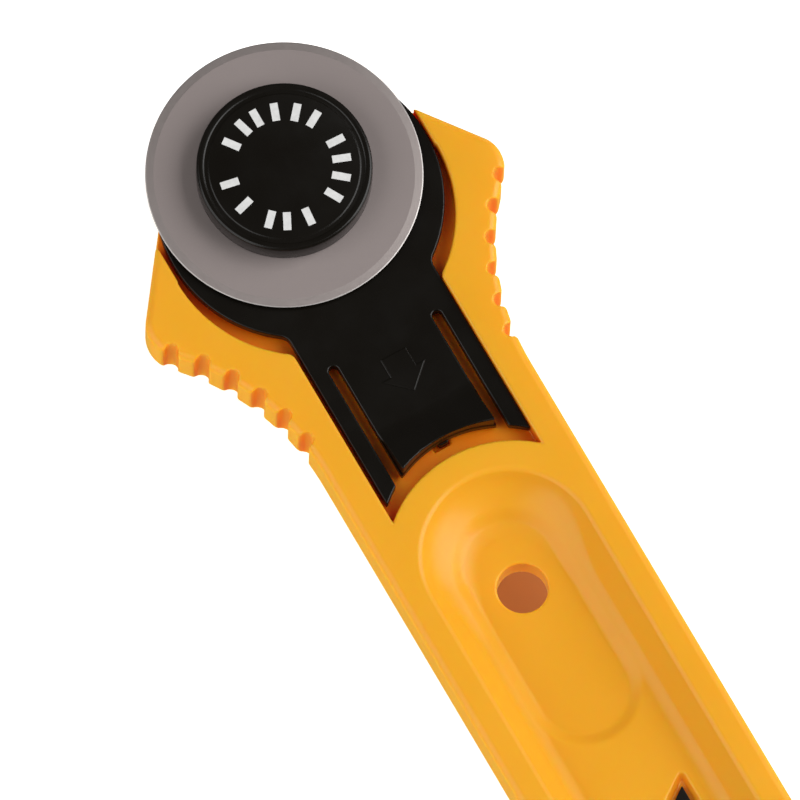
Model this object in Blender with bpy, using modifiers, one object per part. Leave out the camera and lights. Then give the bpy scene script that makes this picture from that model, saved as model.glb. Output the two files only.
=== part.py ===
"""Rotary cutter with a 28 mm blade: one-piece moulded handle, sliding guard and a clamping bolt.

Units are metres. The bolt axis is world Z, the blade end points along +Y and the handle along -Y.
Heights in the constants are measured from the middle plane of the blade; every object stands at
the height of that plane, so that the knob on the back rests on z = 0.
"""
import math

import bmesh
import bpy
from mathutils import Matrix

# ---------------------------------------------------------------- driving dimensions

# Blade
BLADE_RADIUS = 0.0140
BLADE_HOLE_RADIUS = 0.0040
BLADE_HALF_THICKNESS = 0.00015
BLADE_BEVEL = 0.0009
BLADE_EDGE_HALF_THICKNESS = 0.00001

# Handle outline
NOSE_RADIUS = 0.0119
WING_SLOPE_DEG = 36.87
CORNER_RADIUS = 0.0031
FLARE_CENTRE = (0.0381, -0.0290)
HANDLE_HALF_WIDTH = 0.0120
FLARE_RADIUS = FLARE_CENTRE[0] - HANDLE_HALF_WIDTH
HANDLE_END_Y = -0.1340
HANDLE_TOP = 0.0
HANDLE_THICKNESS = 0.0080
HANDLE_BACK = HANDLE_TOP - HANDLE_THICKNESS
FRONT_ROUNDING = 0.0009
SIDE_WALL_DEPTH = 0.0038
BACK_ROUNDING = 0.0028

# Grip notches along each flared side
NOTCH_COUNT = 6
NOTCH_RADIUS = 0.00075
NOTCH_INSET = 0.00045
NOTCH_FIRST_DEG = 44.0
NOTCH_STEP_DEG = 7.2

# Recess that the guard slides in
RECESS_DEPTH = 0.00205
RECESS_FLOOR = HANDLE_TOP - RECESS_DEPTH
RECESS_CENTRE_Y = -0.0046
RECESS_RADIUS = 0.0150
RECESS_WALL_X = 0.01485
RECESS_MOUTH_Y = -0.0002
CHANNEL_HALF_WIDTH = 0.00855
RECESS_END_CENTRE_Y = -0.0468
RECESS_END_RADIUS = 0.0129

# Boss that carries the blade through the slot of the guard
BOSS_RADIUS = 0.0045
BOSS_TOP = -0.00030

# Thumb trough, its inner pad and the hanging hole
TROUGH_TOP_Y = -0.0369
TROUGH_RADIUS = 0.0089
TROUGH_END_CENTRE_Y = -0.1200
TROUGH_STEPS = (
    (0.0010, 0.00020),
    (0.0, 0.00005),
    (-0.00015, -0.00012),
    (-0.0008, -0.00060),
    (-0.0018, -0.00135),
    (-0.0026, -0.00200),
    (-0.0031, -0.00265),
    (-0.0033, -0.00350),
)
TROUGH_FLOOR = TROUGH_STEPS[-1][0]
PAD_RADIUS = 0.0052
PAD_CENTRES_Y = (-0.0459, -0.0608)
PAD_DEPTH = 0.0006
PAD_EDGE = 0.0008
HANG_HOLE_Y = -0.0485
HANG_HOLE_RADIUS = 0.002575

# Relief on the back of the grip
RELIEF_DEPTH = 0.0010
RELIEF_RADIUS = 0.0070
RELIEF_CENTRES_Y = (-0.0440, -0.1190)

# Badge
BADGE_HALF_WIDTH = 0.00395
BADGE_TIP_Y = -0.0737
BADGE_END_Y = -0.1060
BADGE_SLANT = 0.708
BADGE_RECESS_DEPTH = 0.0008
BADGE_THICKNESS = 0.0005
BADGE_WALL_DRAFT = 0.00045

# Guard
GUARD_TOP = -0.00055
GUARD_THICKNESS = 0.0012
GUARD_BOTTOM = GUARD_TOP - GUARD_THICKNESS
GUARD_DISC_RADIUS = 0.01455
GUARD_DISC_CENTRE_Y = -0.0029
GUARD_NECK_HALF_WIDTH = 0.00830
GUARD_SLOT_INNER = 0.00545
GUARD_SLOT_OUTER = 0.00650
GUARD_SLOT_TOP_Y = -0.01975
GUARD_END_CENTRE_Y = -0.0439
GUARD_END_RADIUS = 0.0120
GUARD_TRAVEL = 0.0030
GUARD_X = 0.0002  # the guard stands to the right by the play in its channel
BOSS_CLEARANCE = 0.0003

# Thumb pad and detent bump on the guard's tongue
THUMB_HALF_WIDTH = 0.00535
THUMB_START_Y = -0.0285
THUMB_START_TOP = 0.0006
THUMB_RISE = 0.247
THUMB_DISH_RADIUS = 0.0200
BUMP_HALF_WIDTH = 0.00055
BUMP_Y = (-0.0322, -0.0310)
BUMP_BOTTOM = -0.00235
DETENT_HALF_WIDTH = 0.00095
DETENT_MARGIN = 0.0004
DETENT_FLOOR = -0.00290
DETENT_RIDGE = -0.00255

# Cap, the plastic head of the bolt
CAP_GAP = 0.0001
CAP_RADIUS = 0.00885
CAP_FACE = 0.0028
CAP_EDGE = (
    (0.0076, 0.0),
    (0.0078, 0.00015),
    (0.0082, 0.00020),
    (0.0086, 0.00040),
    (CAP_RADIUS, 0.00090),
)
CAP_SPIGOT_RADIUS = 0.0039
CAP_SPIGOT_BOTTOM = -0.00020
CAP_BORE_RADIUS = 0.00265

# Bolt
BOLT_NECK_RADIUS = 0.0025
BOLT_NECK_HALF_FLAT = 0.0020
BOLT_THREAD_RADIUS = 0.0024
BOLT_HEAD_RADIUS = 0.0060
BOLT_HEAD_BOTTOM = 0.00095
BOLT_HEAD_TOP = 0.00205
BOLT_END = -0.0142
BOLT_CLEARANCE = 0.00015
HEAD_CLEARANCE = 0.0001

# Washers and knob behind the handle
STACK_GAP = 0.0001
SPRING_INNER_RADIUS = 0.0028
SPRING_OUTER_RADIUS = 0.0060
SPRING_THICKNESS = 0.0004
SPRING_WAVE = 0.00025
SPRING_WAVES = 3
WASHER_INNER_RADIUS = 0.0027
WASHER_OUTER_RADIUS = 0.0062
WASHER_THICKNESS = 0.0010
KNOB_RADIUS = 0.0085
KNOB_FLUTE_DEPTH = 0.00065
KNOB_LOBES = 10
KNOB_HEIGHT = 0.0062
KNOB_CHAMFER = 0.0006
KNOB_BORE_RADIUS = 0.0029
KNOB_FLOOR = 0.0014
INSERT_RADIUS = 0.0046
INSERT_HEIGHT = 0.0040
INSERT_BORE_RADIUS = 0.0025

SPRING_TOP = HANDLE_BACK - STACK_GAP
SPRING_BOTTOM = SPRING_TOP - SPRING_THICKNESS - 2 * SPRING_WAVE
WASHER_TOP = SPRING_BOTTOM - STACK_GAP
WASHER_BOTTOM = WASHER_TOP - WASHER_THICKNESS
KNOB_TOP = WASHER_BOTTOM - STACK_GAP
KNOB_BOTTOM = KNOB_TOP - KNOB_HEIGHT
BLADE_PLANE_Z = -KNOB_BOTTOM

# Colours
YELLOW = (0.83, 0.37, 0.022)
BLACK = (0.012, 0.011, 0.010)
STEEL = (0.50, 0.48, 0.47)
BRIGHT_STEEL = (0.60, 0.60, 0.61)
BRASS = (0.70, 0.49, 0.20)


# ---------------------------------------------------------------- scene and shape helpers

def clear_scene():
    for existing in list(bpy.data.objects):
        bpy.data.objects.remove(existing)


def make_collection(name, is_cutter=False):
    collection = bpy.data.collections.new(name)
    bpy.context.scene.collection.children.link(collection)
    collection.hide_render = is_cutter
    return collection


def make_material(name, colour, roughness, metallic=0.0):
    material = bpy.data.materials.new(name)
    material.use_nodes = True
    shader = material.node_tree.nodes["Principled BSDF"]
    shader.inputs["Base Color"].default_value = (*colour, 1.0)
    shader.inputs["Roughness"].default_value = roughness
    shader.inputs["Metallic"].default_value = metallic
    return material


def add_mesh_object(name, mesh, collection):
    item = bpy.data.objects.new(name, mesh)
    item.location = (0.0, 0.0, BLADE_PLANE_Z)
    collection.objects.link(item)
    if collection.hide_render:
        item.display_type = "WIRE"
        item.hide_render = True
    return item


def arc(centre, radius, start_deg, end_deg, steps):
    """Points along an arc, both ends included."""
    points = []
    for index in range(steps + 1):
        angle = math.radians(start_deg + (end_deg - start_deg) * index / steps)
        points.append((centre[0] + radius * math.cos(angle), centre[1] + radius * math.sin(angle)))
    return points


def mirrored(half):
    """The half outline at +X followed by its mirror image, without doubling points on the axis."""
    other = [(-x, y) for x, y in reversed(half) if abs(x) > 1e-7]
    return half + other


def shifted(outline, distance):
    """The outline moved along +X."""
    return [(x + distance, y) for x, y in outline]


def stadium(radius, top_centre_y, bottom_centre_y, steps=16):
    """Outline of a slot with round ends along Y."""
    bottom = arc((0.0, bottom_centre_y), radius, 180.0, 360.0, steps)
    top = arc((0.0, top_centre_y), radius, 0.0, 180.0, steps)
    return bottom + top


def loft(name, rings, collection, closed=False):
    """Skin rings of (x, y, z) points that have equal counts; the ends get flat caps unless closed."""
    shape = bmesh.new()
    grid = [[shape.verts.new(point) for point in ring] for ring in rings]
    pairs = list(zip(grid, grid[1:]))
    if closed:
        pairs.append((grid[-1], grid[0]))
    else:
        shape.faces.new(grid[0])
        shape.faces.new(grid[-1])
    for first, second in pairs:
        for index in range(len(first)):
            after = (index + 1) % len(first)
            shape.faces.new((first[index], first[after], second[after], second[index]))
    bmesh.ops.recalc_face_normals(shape, faces=shape.faces)
    mesh = bpy.data.meshes.new(name)
    shape.to_mesh(mesh)
    shape.free()
    return add_mesh_object(name, mesh, collection)


def at_height(outline, height):
    return [(x, y, height) for x, y in outline]


def plate(name, outline, low, high, collection):
    """A flat piece: the outline between two heights."""
    return loft(name, [at_height(outline, low), at_height(outline, high)], collection)


def turned(name, profile, collection, steps=64, is_ring=False):
    """Turn a profile of (radius, height) points about Z; a ring's profile closes on itself."""
    mesh = bpy.data.meshes.new(name)
    points = [(radius, 0.0, height) for radius, height in profile]
    edges = [(index, index + 1) for index in range(len(points) - 1)]
    if is_ring:
        edges.append((len(points) - 1, 0))
    mesh.from_pydata(points, edges, [])
    item = add_mesh_object(name, mesh, collection)
    screw = item.modifiers.new("Turn", "SCREW")
    screw.axis = "Z"
    screw.angle = math.tau
    screw.steps = steps
    screw.render_steps = steps
    screw.use_merge_vertices = True
    screw.merge_threshold = 0.000005
    return item


def prism(name, sides, radius, low, high, collection, centre=(0.0, 0.0)):
    """An upright regular prism, or a cylinder when it has many sides."""
    shape = bmesh.new()
    bmesh.ops.create_cone(
        shape, cap_ends=True, segments=sides, radius1=radius, radius2=radius, depth=high - low)
    middle = (centre[0], centre[1], (low + high) / 2)
    bmesh.ops.translate(shape, vec=middle, verts=shape.verts)
    mesh = bpy.data.meshes.new(name)
    shape.to_mesh(mesh)
    shape.free()
    return add_mesh_object(name, mesh, collection)


def box(name, x_range, y_range, z_range, collection):
    shape = bmesh.new()
    size = [high - low for low, high in (x_range, y_range, z_range)]
    middle = [(low + high) / 2 for low, high in (x_range, y_range, z_range)]
    placing = Matrix.Translation(middle) @ Matrix.Diagonal((*size, 1.0))
    bmesh.ops.create_cube(shape, size=1.0, matrix=placing)
    mesh = bpy.data.meshes.new(name)
    shape.to_mesh(mesh)
    shape.free()
    return add_mesh_object(name, mesh, collection)


def combine(target, operation, operand):
    step = target.modifiers.new(operand.name, "BOOLEAN")
    step.operation = operation
    step.solver = "EXACT"
    step.object = operand


def smooth(item, angle_deg=35.0):
    """Smooth shading, kept crisp where faces meet at more than the angle."""
    for face in item.data.polygons:
        face.use_smooth = True
    item.data.set_sharp_from_angle(angle=math.radians(angle_deg))


# ---------------------------------------------------------------- handle

def corner_centre():
    """Centre of the wing's round corner: tangent to the wing's straight edge and to the flare."""
    slope = math.radians(WING_SLOPE_DEG)
    normal = (math.cos(slope), math.sin(slope))
    along = (math.sin(slope), -math.cos(slope))
    reach = NOSE_RADIUS - CORNER_RADIUS
    start = (normal[0] * reach, normal[1] * reach)
    offset = (start[0] - FLARE_CENTRE[0], start[1] - FLARE_CENTRE[1])
    half_b = offset[0] * along[0] + offset[1] * along[1]
    rest = offset[0] ** 2 + offset[1] ** 2 - (FLARE_RADIUS + CORNER_RADIUS) ** 2
    distance = -half_b - math.sqrt(half_b ** 2 - rest)
    return start[0] + distance * along[0], start[1] + distance * along[1]


def handle_outline(inset):
    """Outline of the handle moved inwards: nose, wing corner, flare, straight grip, round end."""
    corner = corner_centre()
    meet = math.degrees(math.atan2(FLARE_CENTRE[1] - corner[1], FLARE_CENTRE[0] - corner[0]))
    end_centre = (0.0, HANDLE_END_Y + HANDLE_HALF_WIDTH)
    half = arc((0.0, 0.0), NOSE_RADIUS - inset, 90.0, WING_SLOPE_DEG, 8)
    half += arc(corner, CORNER_RADIUS - inset, WING_SLOPE_DEG, meet, 8)
    half += arc(FLARE_CENTRE, FLARE_RADIUS + inset, 180.0 + meet, 180.0, 12)[1:]
    half += arc(end_centre, HANDLE_HALF_WIDTH - inset, 0.0, -90.0, 12)
    return mirrored(half)


def handle_body(parts):
    """Rounded on its front edge, upright sides, and a large rounding towards the back."""
    rings = []
    for degrees in (90.0, 60.0, 30.0, 0.0):
        angle = math.radians(degrees)
        inset = FRONT_ROUNDING * (1.0 - math.cos(angle))
        depth = FRONT_ROUNDING * (1.0 - math.sin(angle))
        rings.append(at_height(handle_outline(inset), HANDLE_TOP - depth))
    back_height = HANDLE_THICKNESS - SIDE_WALL_DEPTH
    for degrees in (0.0, 22.5, 45.0, 67.5, 90.0):
        angle = math.radians(degrees)
        inset = BACK_ROUNDING * (1.0 - math.cos(angle))
        depth = SIDE_WALL_DEPTH + back_height * math.sin(angle)
        rings.append(at_height(handle_outline(inset), HANDLE_TOP - depth))
    return loft("handle", rings, parts)


def recess_outline():
    """Front clearing over the nose, upright walls and round pocket for the disc, channel, stop."""
    centre = (0.0, RECESS_CENTRE_Y)
    wall_deg = math.degrees(math.acos(RECESS_WALL_X / RECESS_RADIUS))
    neck_deg = -math.degrees(math.acos(CHANNEL_HALF_WIDTH / RECESS_RADIUS))
    end_deg = math.degrees(math.acos(CHANNEL_HALF_WIDTH / RECESS_END_RADIUS))
    side = 0.030
    front = 0.025
    half = [(side, front), (side, RECESS_MOUTH_Y), (RECESS_WALL_X, RECESS_MOUTH_Y)]
    half += arc(centre, RECESS_RADIUS, wall_deg, neck_deg, 14)
    half += arc((0.0, RECESS_END_CENTRE_Y), RECESS_END_RADIUS, end_deg, 90.0, 8)
    return mirrored(half)


def double_d(radius, half_flat):
    """Round outline with two flats facing +X and -X."""
    flat_deg = math.degrees(math.acos(half_flat / radius))
    upper = arc((0.0, 0.0), radius, flat_deg, 180.0 - flat_deg, 10)
    lower = arc((0.0, 0.0), radius, 180.0 + flat_deg, 360.0 - flat_deg, 10)
    return upper + lower


def trough_cutter(cutters):
    top_centre = TROUGH_TOP_Y - TROUGH_RADIUS
    rings = []
    for height, spread in TROUGH_STEPS:
        outline = stadium(TROUGH_RADIUS + spread, top_centre, TROUGH_END_CENTRE_Y, 20)
        rings.append(at_height(outline, height))
    return loft("trough_cutter", rings, cutters)


def pad_cutter(cutters):
    """Shallow oval, a little deeper than the trough's floor, under the thumb."""
    above = TROUGH_FLOOR + PAD_DEPTH
    below = TROUGH_FLOOR - PAD_DEPTH
    rings = [
        at_height(stadium(PAD_RADIUS + PAD_EDGE, *PAD_CENTRES_Y), above),
        at_height(stadium(PAD_RADIUS - PAD_EDGE, *PAD_CENTRES_Y), below),
    ]
    return loft("pad_cutter", rings, cutters)


def badge_outline(spread):
    """A long bar with both ends slanted the same way, grown by the spread."""
    half = BADGE_HALF_WIDTH + spread
    rise = spread * math.hypot(1.0, BADGE_SLANT) + spread * BADGE_SLANT
    drop = 2 * half * BADGE_SLANT
    tip = BADGE_TIP_Y + rise
    foot = BADGE_END_Y - rise
    return [(half, tip), (-half, tip - drop), (-half, foot), (half, foot + drop)]


def badge_cutter(cutters):
    floor = TROUGH_FLOOR - BADGE_RECESS_DEPTH
    above = TROUGH_FLOOR + BADGE_RECESS_DEPTH
    gap = STACK_GAP
    rings = [
        at_height(badge_outline(gap), floor),
        at_height(badge_outline(gap + 2 * BADGE_WALL_DRAFT), above),
    ]
    return loft("badge_cutter", rings, cutters)


def notch_cutters(cutters):
    """Upright round grooves along both flared sides."""
    reach = FLARE_RADIUS + NOTCH_INSET
    low = HANDLE_BACK - 0.001
    high = HANDLE_TOP + 0.001
    made = []
    for number in range(NOTCH_COUNT):
        angle = math.radians(NOTCH_FIRST_DEG - NOTCH_STEP_DEG * number)
        x = FLARE_CENTRE[0] - reach * math.cos(angle)
        y = FLARE_CENTRE[1] + reach * math.sin(angle)
        for side, sign in (("right", 1), ("left", -1)):
            name = f"notch_{side}_{number + 1}"
            made.append(prism(name, 16, NOTCH_RADIUS, low, high, cutters, (sign * x, y)))
    return made


def detent_cutters(cutters):
    """Two hollows in the recess floor, one for each place of the guard, with a low ridge between."""
    x_range = (-DETENT_HALF_WIDTH, DETENT_HALF_WIDTH)
    top = RECESS_FLOOR + 0.0005
    rear = BUMP_Y[0] - DETENT_MARGIN
    front = BUMP_Y[1] + DETENT_MARGIN
    ridge = box("detent_track", x_range, (rear, front + GUARD_TRAVEL), (DETENT_RIDGE, top), cutters)
    drawn = box("detent_back", x_range, (rear, front), (DETENT_FLOOR, top), cutters)
    closed_range = (rear + GUARD_TRAVEL, front + GUARD_TRAVEL)
    closed = box("detent_front", x_range, closed_range, (DETENT_FLOOR, top), cutters)
    return [ridge, drawn, closed]


def build_handle(parts, cutters):
    handle = handle_body(parts)
    recess = plate("recess_cutter", recess_outline(), RECESS_FLOOR, HANDLE_TOP + 0.001, cutters)
    combine(handle, "DIFFERENCE", recess)
    boss = prism("boss", 48, BOSS_RADIUS, RECESS_FLOOR - 0.001, BOSS_TOP, cutters)
    combine(handle, "UNION", boss)
    neck_hole = double_d(BOLT_NECK_RADIUS + BOLT_CLEARANCE, BOLT_NECK_HALF_FLAT + BOLT_CLEARANCE)
    low = HANDLE_BACK - 0.001
    combine(handle, "DIFFERENCE", plate("bolt_hole", neck_hole, low, BOSS_TOP + 0.001, cutters))
    combine(handle, "DIFFERENCE", trough_cutter(cutters))
    combine(handle, "DIFFERENCE", pad_cutter(cutters))
    hang = prism("hanging_hole", 40, HANG_HOLE_RADIUS, low, HANDLE_TOP, cutters, (0.0, HANG_HOLE_Y))
    combine(handle, "DIFFERENCE", hang)
    combine(handle, "DIFFERENCE", badge_cutter(cutters))
    relief = stadium(RELIEF_RADIUS, *RELIEF_CENTRES_Y)
    back = plate("back_relief", relief, low, HANDLE_BACK + RELIEF_DEPTH, cutters)
    combine(handle, "DIFFERENCE", back)
    for cutter in detent_cutters(cutters) + notch_cutters(cutters):
        combine(handle, "DIFFERENCE", cutter)
    handle.data.materials.append(make_material("yellow_plastic", YELLOW, 0.35))
    smooth(handle)
    return handle


def build_badge(parts):
    floor = TROUGH_FLOOR - BADGE_RECESS_DEPTH + STACK_GAP
    badge = plate("badge", badge_outline(0.0), floor, floor + BADGE_THICKNESS, parts)
    badge.data.materials.append(make_material("badge_black", BLACK, 0.45))
    return badge


# ---------------------------------------------------------------- guard

def guard_outline():
    """Disc, neck, two legs and the tongue between two slots, all ending on one hollow arc."""
    neck_deg = -math.degrees(math.acos(GUARD_NECK_HALF_WIDTH / GUARD_DISC_RADIUS))
    slot_middle = (GUARD_SLOT_INNER + GUARD_SLOT_OUTER) / 2
    slot_radius = (GUARD_SLOT_OUTER - GUARD_SLOT_INNER) / 2

    def end_deg(x):
        return math.degrees(math.acos(x / GUARD_END_RADIUS))

    end_centre = (0.0, GUARD_END_CENTRE_Y)
    outer_deg = end_deg(GUARD_NECK_HALF_WIDTH)
    leg_deg = end_deg(GUARD_SLOT_OUTER)
    tongue_deg = end_deg(GUARD_SLOT_INNER)
    half = arc((0.0, GUARD_DISC_CENTRE_Y), GUARD_DISC_RADIUS, 90.0, neck_deg, 40)
    half += arc(end_centre, GUARD_END_RADIUS, outer_deg, leg_deg, 3)
    half += arc((slot_middle, GUARD_SLOT_TOP_Y - slot_radius), slot_radius, 0.0, 180.0, 6)
    half += arc(end_centre, GUARD_END_RADIUS, tongue_deg, 90.0, 10)
    return mirrored(half)


def thumb_outline():
    side_deg = math.degrees(math.acos(THUMB_HALF_WIDTH / GUARD_END_RADIUS))
    half = [(THUMB_HALF_WIDTH, THUMB_START_Y)]
    half += arc((0.0, GUARD_END_CENTRE_Y), GUARD_END_RADIUS, side_deg, 90.0, 10)
    return mirrored(half)


def thumb_pad(cutters):
    """Block on the tongue's end whose dished top climbs away from the blade."""
    pad = plate("thumb_pad", shifted(thumb_outline(), GUARD_X), GUARD_TOP - 0.0004, 0.004, cutters)
    climb = math.atan(THUMB_RISE)
    middle_y = GUARD_END_CENTRE_Y + GUARD_END_RADIUS
    edge_top = THUMB_START_TOP + THUMB_RISE * (THUMB_START_Y - middle_y)
    lift = math.sqrt(THUMB_DISH_RADIUS ** 2 - THUMB_HALF_WIDTH ** 2) / math.cos(climb)
    dish = prism("thumb_dish", 128, THUMB_DISH_RADIUS, -0.020, 0.020, cutters)
    dish.rotation_euler = (math.radians(90.0) - climb, 0.0, 0.0)
    dish.location = (GUARD_X, middle_y, BLADE_PLANE_Z + edge_top + lift)
    combine(pad, "DIFFERENCE", dish)
    return pad


def build_guard(parts, cutters):
    guard = plate("guard", shifted(guard_outline(), GUARD_X), GUARD_BOTTOM, GUARD_TOP, parts)
    slot = stadium(BOSS_RADIUS + BOSS_CLEARANCE, 0.0, -GUARD_TRAVEL)
    cutter = plate("guard_slot", slot, GUARD_BOTTOM - 0.001, GUARD_TOP + 0.001, cutters)
    combine(guard, "DIFFERENCE", cutter)
    combine(guard, "UNION", thumb_pad(cutters))
    x_range = (GUARD_X - BUMP_HALF_WIDTH, GUARD_X + BUMP_HALF_WIDTH)
    bump = box("detent_bump", x_range, BUMP_Y, (BUMP_BOTTOM, GUARD_BOTTOM + 0.0003), cutters)
    combine(guard, "UNION", bump)
    guard.data.materials.append(make_material("black_plastic", BLACK, 0.30))
    smooth(guard)
    return guard


# ---------------------------------------------------------------- blade, cap and bolt

def build_blade(parts):
    rim = BLADE_RADIUS - BLADE_BEVEL
    profile = [
        (BLADE_HOLE_RADIUS, BLADE_HALF_THICKNESS),
        (rim, BLADE_HALF_THICKNESS),
        (BLADE_RADIUS, BLADE_EDGE_HALF_THICKNESS),
        (BLADE_RADIUS, -BLADE_EDGE_HALF_THICKNESS),
        (rim, -BLADE_HALF_THICKNESS),
        (BLADE_HOLE_RADIUS, -BLADE_HALF_THICKNESS),
    ]
    blade = turned("blade", profile, parts, steps=96, is_ring=True)
    blade.data.materials.append(make_material("blade_steel", STEEL, 0.28, 1.0))
    return blade


def build_cap(parts, cutters):
    """Drum over the blade, its upper edge stepped and rounded, and a spigot in the blade's hole."""
    under = BLADE_HALF_THICKNESS + CAP_GAP
    pocket = BOLT_HEAD_BOTTOM - HEAD_CLEARANCE
    profile = [
        (0.0, CAP_FACE),
        *((radius, CAP_FACE - drop) for radius, drop in CAP_EDGE),
        (CAP_RADIUS, under),
        (CAP_SPIGOT_RADIUS, under),
        (CAP_SPIGOT_RADIUS, CAP_SPIGOT_BOTTOM),
        (CAP_BORE_RADIUS, CAP_SPIGOT_BOTTOM),
        (CAP_BORE_RADIUS, pocket),
        (0.0, pocket),
    ]
    cap = turned("cap", profile, parts, steps=72)
    top = BOLT_HEAD_TOP + HEAD_CLEARANCE
    hollow = prism("head_pocket", 6, BOLT_HEAD_RADIUS + HEAD_CLEARANCE, pocket, top, cutters)
    combine(cap, "DIFFERENCE", hollow)
    cap.data.materials.append(make_material("cap_plastic", BLACK, 0.30))
    return cap


def build_bolt(parts, cutters):
    """Hexagonal head, flatted neck down to the back of the handle, then the threaded end."""
    bolt = prism("bolt", 6, BOLT_HEAD_RADIUS, BOLT_HEAD_BOTTOM, BOLT_HEAD_TOP, parts)
    neck_outline = double_d(BOLT_NECK_RADIUS, BOLT_NECK_HALF_FLAT)
    neck_top = BOLT_HEAD_BOTTOM + 0.0003
    neck = plate("bolt_neck", neck_outline, HANDLE_BACK - STACK_GAP, neck_top, cutters)
    combine(bolt, "UNION", neck)
    chamfer = 0.0005
    thread = turned("bolt_thread", [
        (0.0, HANDLE_BACK + 0.001),
        (BOLT_THREAD_RADIUS - chamfer, HANDLE_BACK + 0.001),
        (BOLT_THREAD_RADIUS - chamfer, HANDLE_BACK),
        (BOLT_THREAD_RADIUS, HANDLE_BACK - chamfer),
        (BOLT_THREAD_RADIUS, BOLT_END + chamfer),
        (BOLT_THREAD_RADIUS - chamfer, BOLT_END),
        (0.0, BOLT_END),
    ], cutters, steps=40)
    combine(bolt, "UNION", thread)
    bolt.data.materials.append(make_material("bolt_steel", BRIGHT_STEEL, 0.35, 1.0))
    return bolt


# ---------------------------------------------------------------- washers and knob

def build_spring_washer(parts):
    """Thin ring whose height waves round the bolt."""
    middle = (SPRING_TOP + SPRING_BOTTOM) / 2
    half = SPRING_THICKNESS / 2
    steps = 60
    rings = []
    corners = (
        (SPRING_INNER_RADIUS, -half),
        (SPRING_OUTER_RADIUS, -half),
        (SPRING_OUTER_RADIUS, half),
        (SPRING_INNER_RADIUS, half),
    )
    for radius, offset in corners:
        ring = []
        for index in range(steps):
            angle = math.tau * index / steps
            height = middle + offset + SPRING_WAVE * math.cos(SPRING_WAVES * angle)
            ring.append((radius * math.cos(angle), radius * math.sin(angle), height))
        rings.append(ring)
    washer = loft("spring_washer", rings, parts, closed=True)
    washer.data.materials.append(make_material("spring_steel", BRIGHT_STEEL, 0.30, 1.0))
    smooth(washer)
    return washer


def build_flat_washer(parts):
    profile = [
        (WASHER_INNER_RADIUS, WASHER_TOP),
        (WASHER_OUTER_RADIUS, WASHER_TOP),
        (WASHER_OUTER_RADIUS, WASHER_BOTTOM),
        (WASHER_INNER_RADIUS, WASHER_BOTTOM),
    ]
    washer = turned("flat_washer", profile, parts, steps=48, is_ring=True)
    washer.data.materials.append(make_material("washer_steel", BRIGHT_STEEL, 0.40, 1.0))
    return washer


def knob_outline(inset):
    """Round outline with shallow finger flutes."""
    steps = KNOB_LOBES * 8
    points = []
    for index in range(steps):
        angle = math.tau * index / steps
        flute = KNOB_FLUTE_DEPTH * (0.5 - 0.5 * math.cos(KNOB_LOBES * angle))
        radius = KNOB_RADIUS - inset - flute
        points.append((radius * math.cos(angle), radius * math.sin(angle)))
    return points


def build_knob(parts, cutters):
    rings = [
        at_height(knob_outline(KNOB_CHAMFER), KNOB_TOP),
        at_height(knob_outline(0.0), KNOB_TOP - KNOB_CHAMFER),
        at_height(knob_outline(0.0), KNOB_BOTTOM + 2 * KNOB_CHAMFER),
        at_height(knob_outline(0.6 * KNOB_CHAMFER), KNOB_BOTTOM + 0.6 * KNOB_CHAMFER),
        at_height(knob_outline(2 * KNOB_CHAMFER), KNOB_BOTTOM),
    ]
    knob = loft("knob", rings, parts)
    above = KNOB_TOP + 0.001
    pocket_low = KNOB_TOP - INSERT_HEIGHT - 2 * STACK_GAP
    pocket = prism("insert_pocket", 6, INSERT_RADIUS + STACK_GAP, pocket_low, above, cutters)
    combine(knob, "DIFFERENCE", pocket)
    bore = prism("knob_bore", 40, KNOB_BORE_RADIUS, KNOB_BOTTOM + KNOB_FLOOR, above, cutters)
    combine(knob, "DIFFERENCE", bore)
    knob.data.materials.append(make_material("knob_plastic", BLACK, 0.40))
    smooth(knob)
    return knob


def build_nut_insert(parts, cutters):
    top = KNOB_TOP - STACK_GAP
    insert = prism("nut_insert", 6, INSERT_RADIUS, top - INSERT_HEIGHT, top, parts)
    low = top - INSERT_HEIGHT - 0.001
    bore = prism("insert_bore", 40, INSERT_BORE_RADIUS, low, top + 0.001, cutters)
    combine(insert, "DIFFERENCE", bore)
    insert.data.materials.append(make_material("insert_brass", BRASS, 0.35, 1.0))
    return insert


def main():
    clear_scene()
    parts = make_collection("rotary_cutter")
    cutters = make_collection("cutters", is_cutter=True)
    build_handle(parts, cutters)
    build_badge(parts)
    build_guard(parts, cutters)
    build_blade(parts)
    build_cap(parts, cutters)
    build_bolt(parts, cutters)
    build_spring_washer(parts)
    build_flat_washer(parts)
    build_knob(parts, cutters)
    build_nut_insert(parts, cutters)


main()
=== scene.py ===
"""Looks of the rotary cutter: finely rounded mouldings, ground blade, marked cap, knob and light.

Shapes are worked out in millimetres from the bolt axis and the middle plane of the blade, and are
turned into metres at the blade's own height in the frame.
"""
import math

import bmesh
import bpy
import numpy as np
from mathutils import Matrix, Vector


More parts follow.
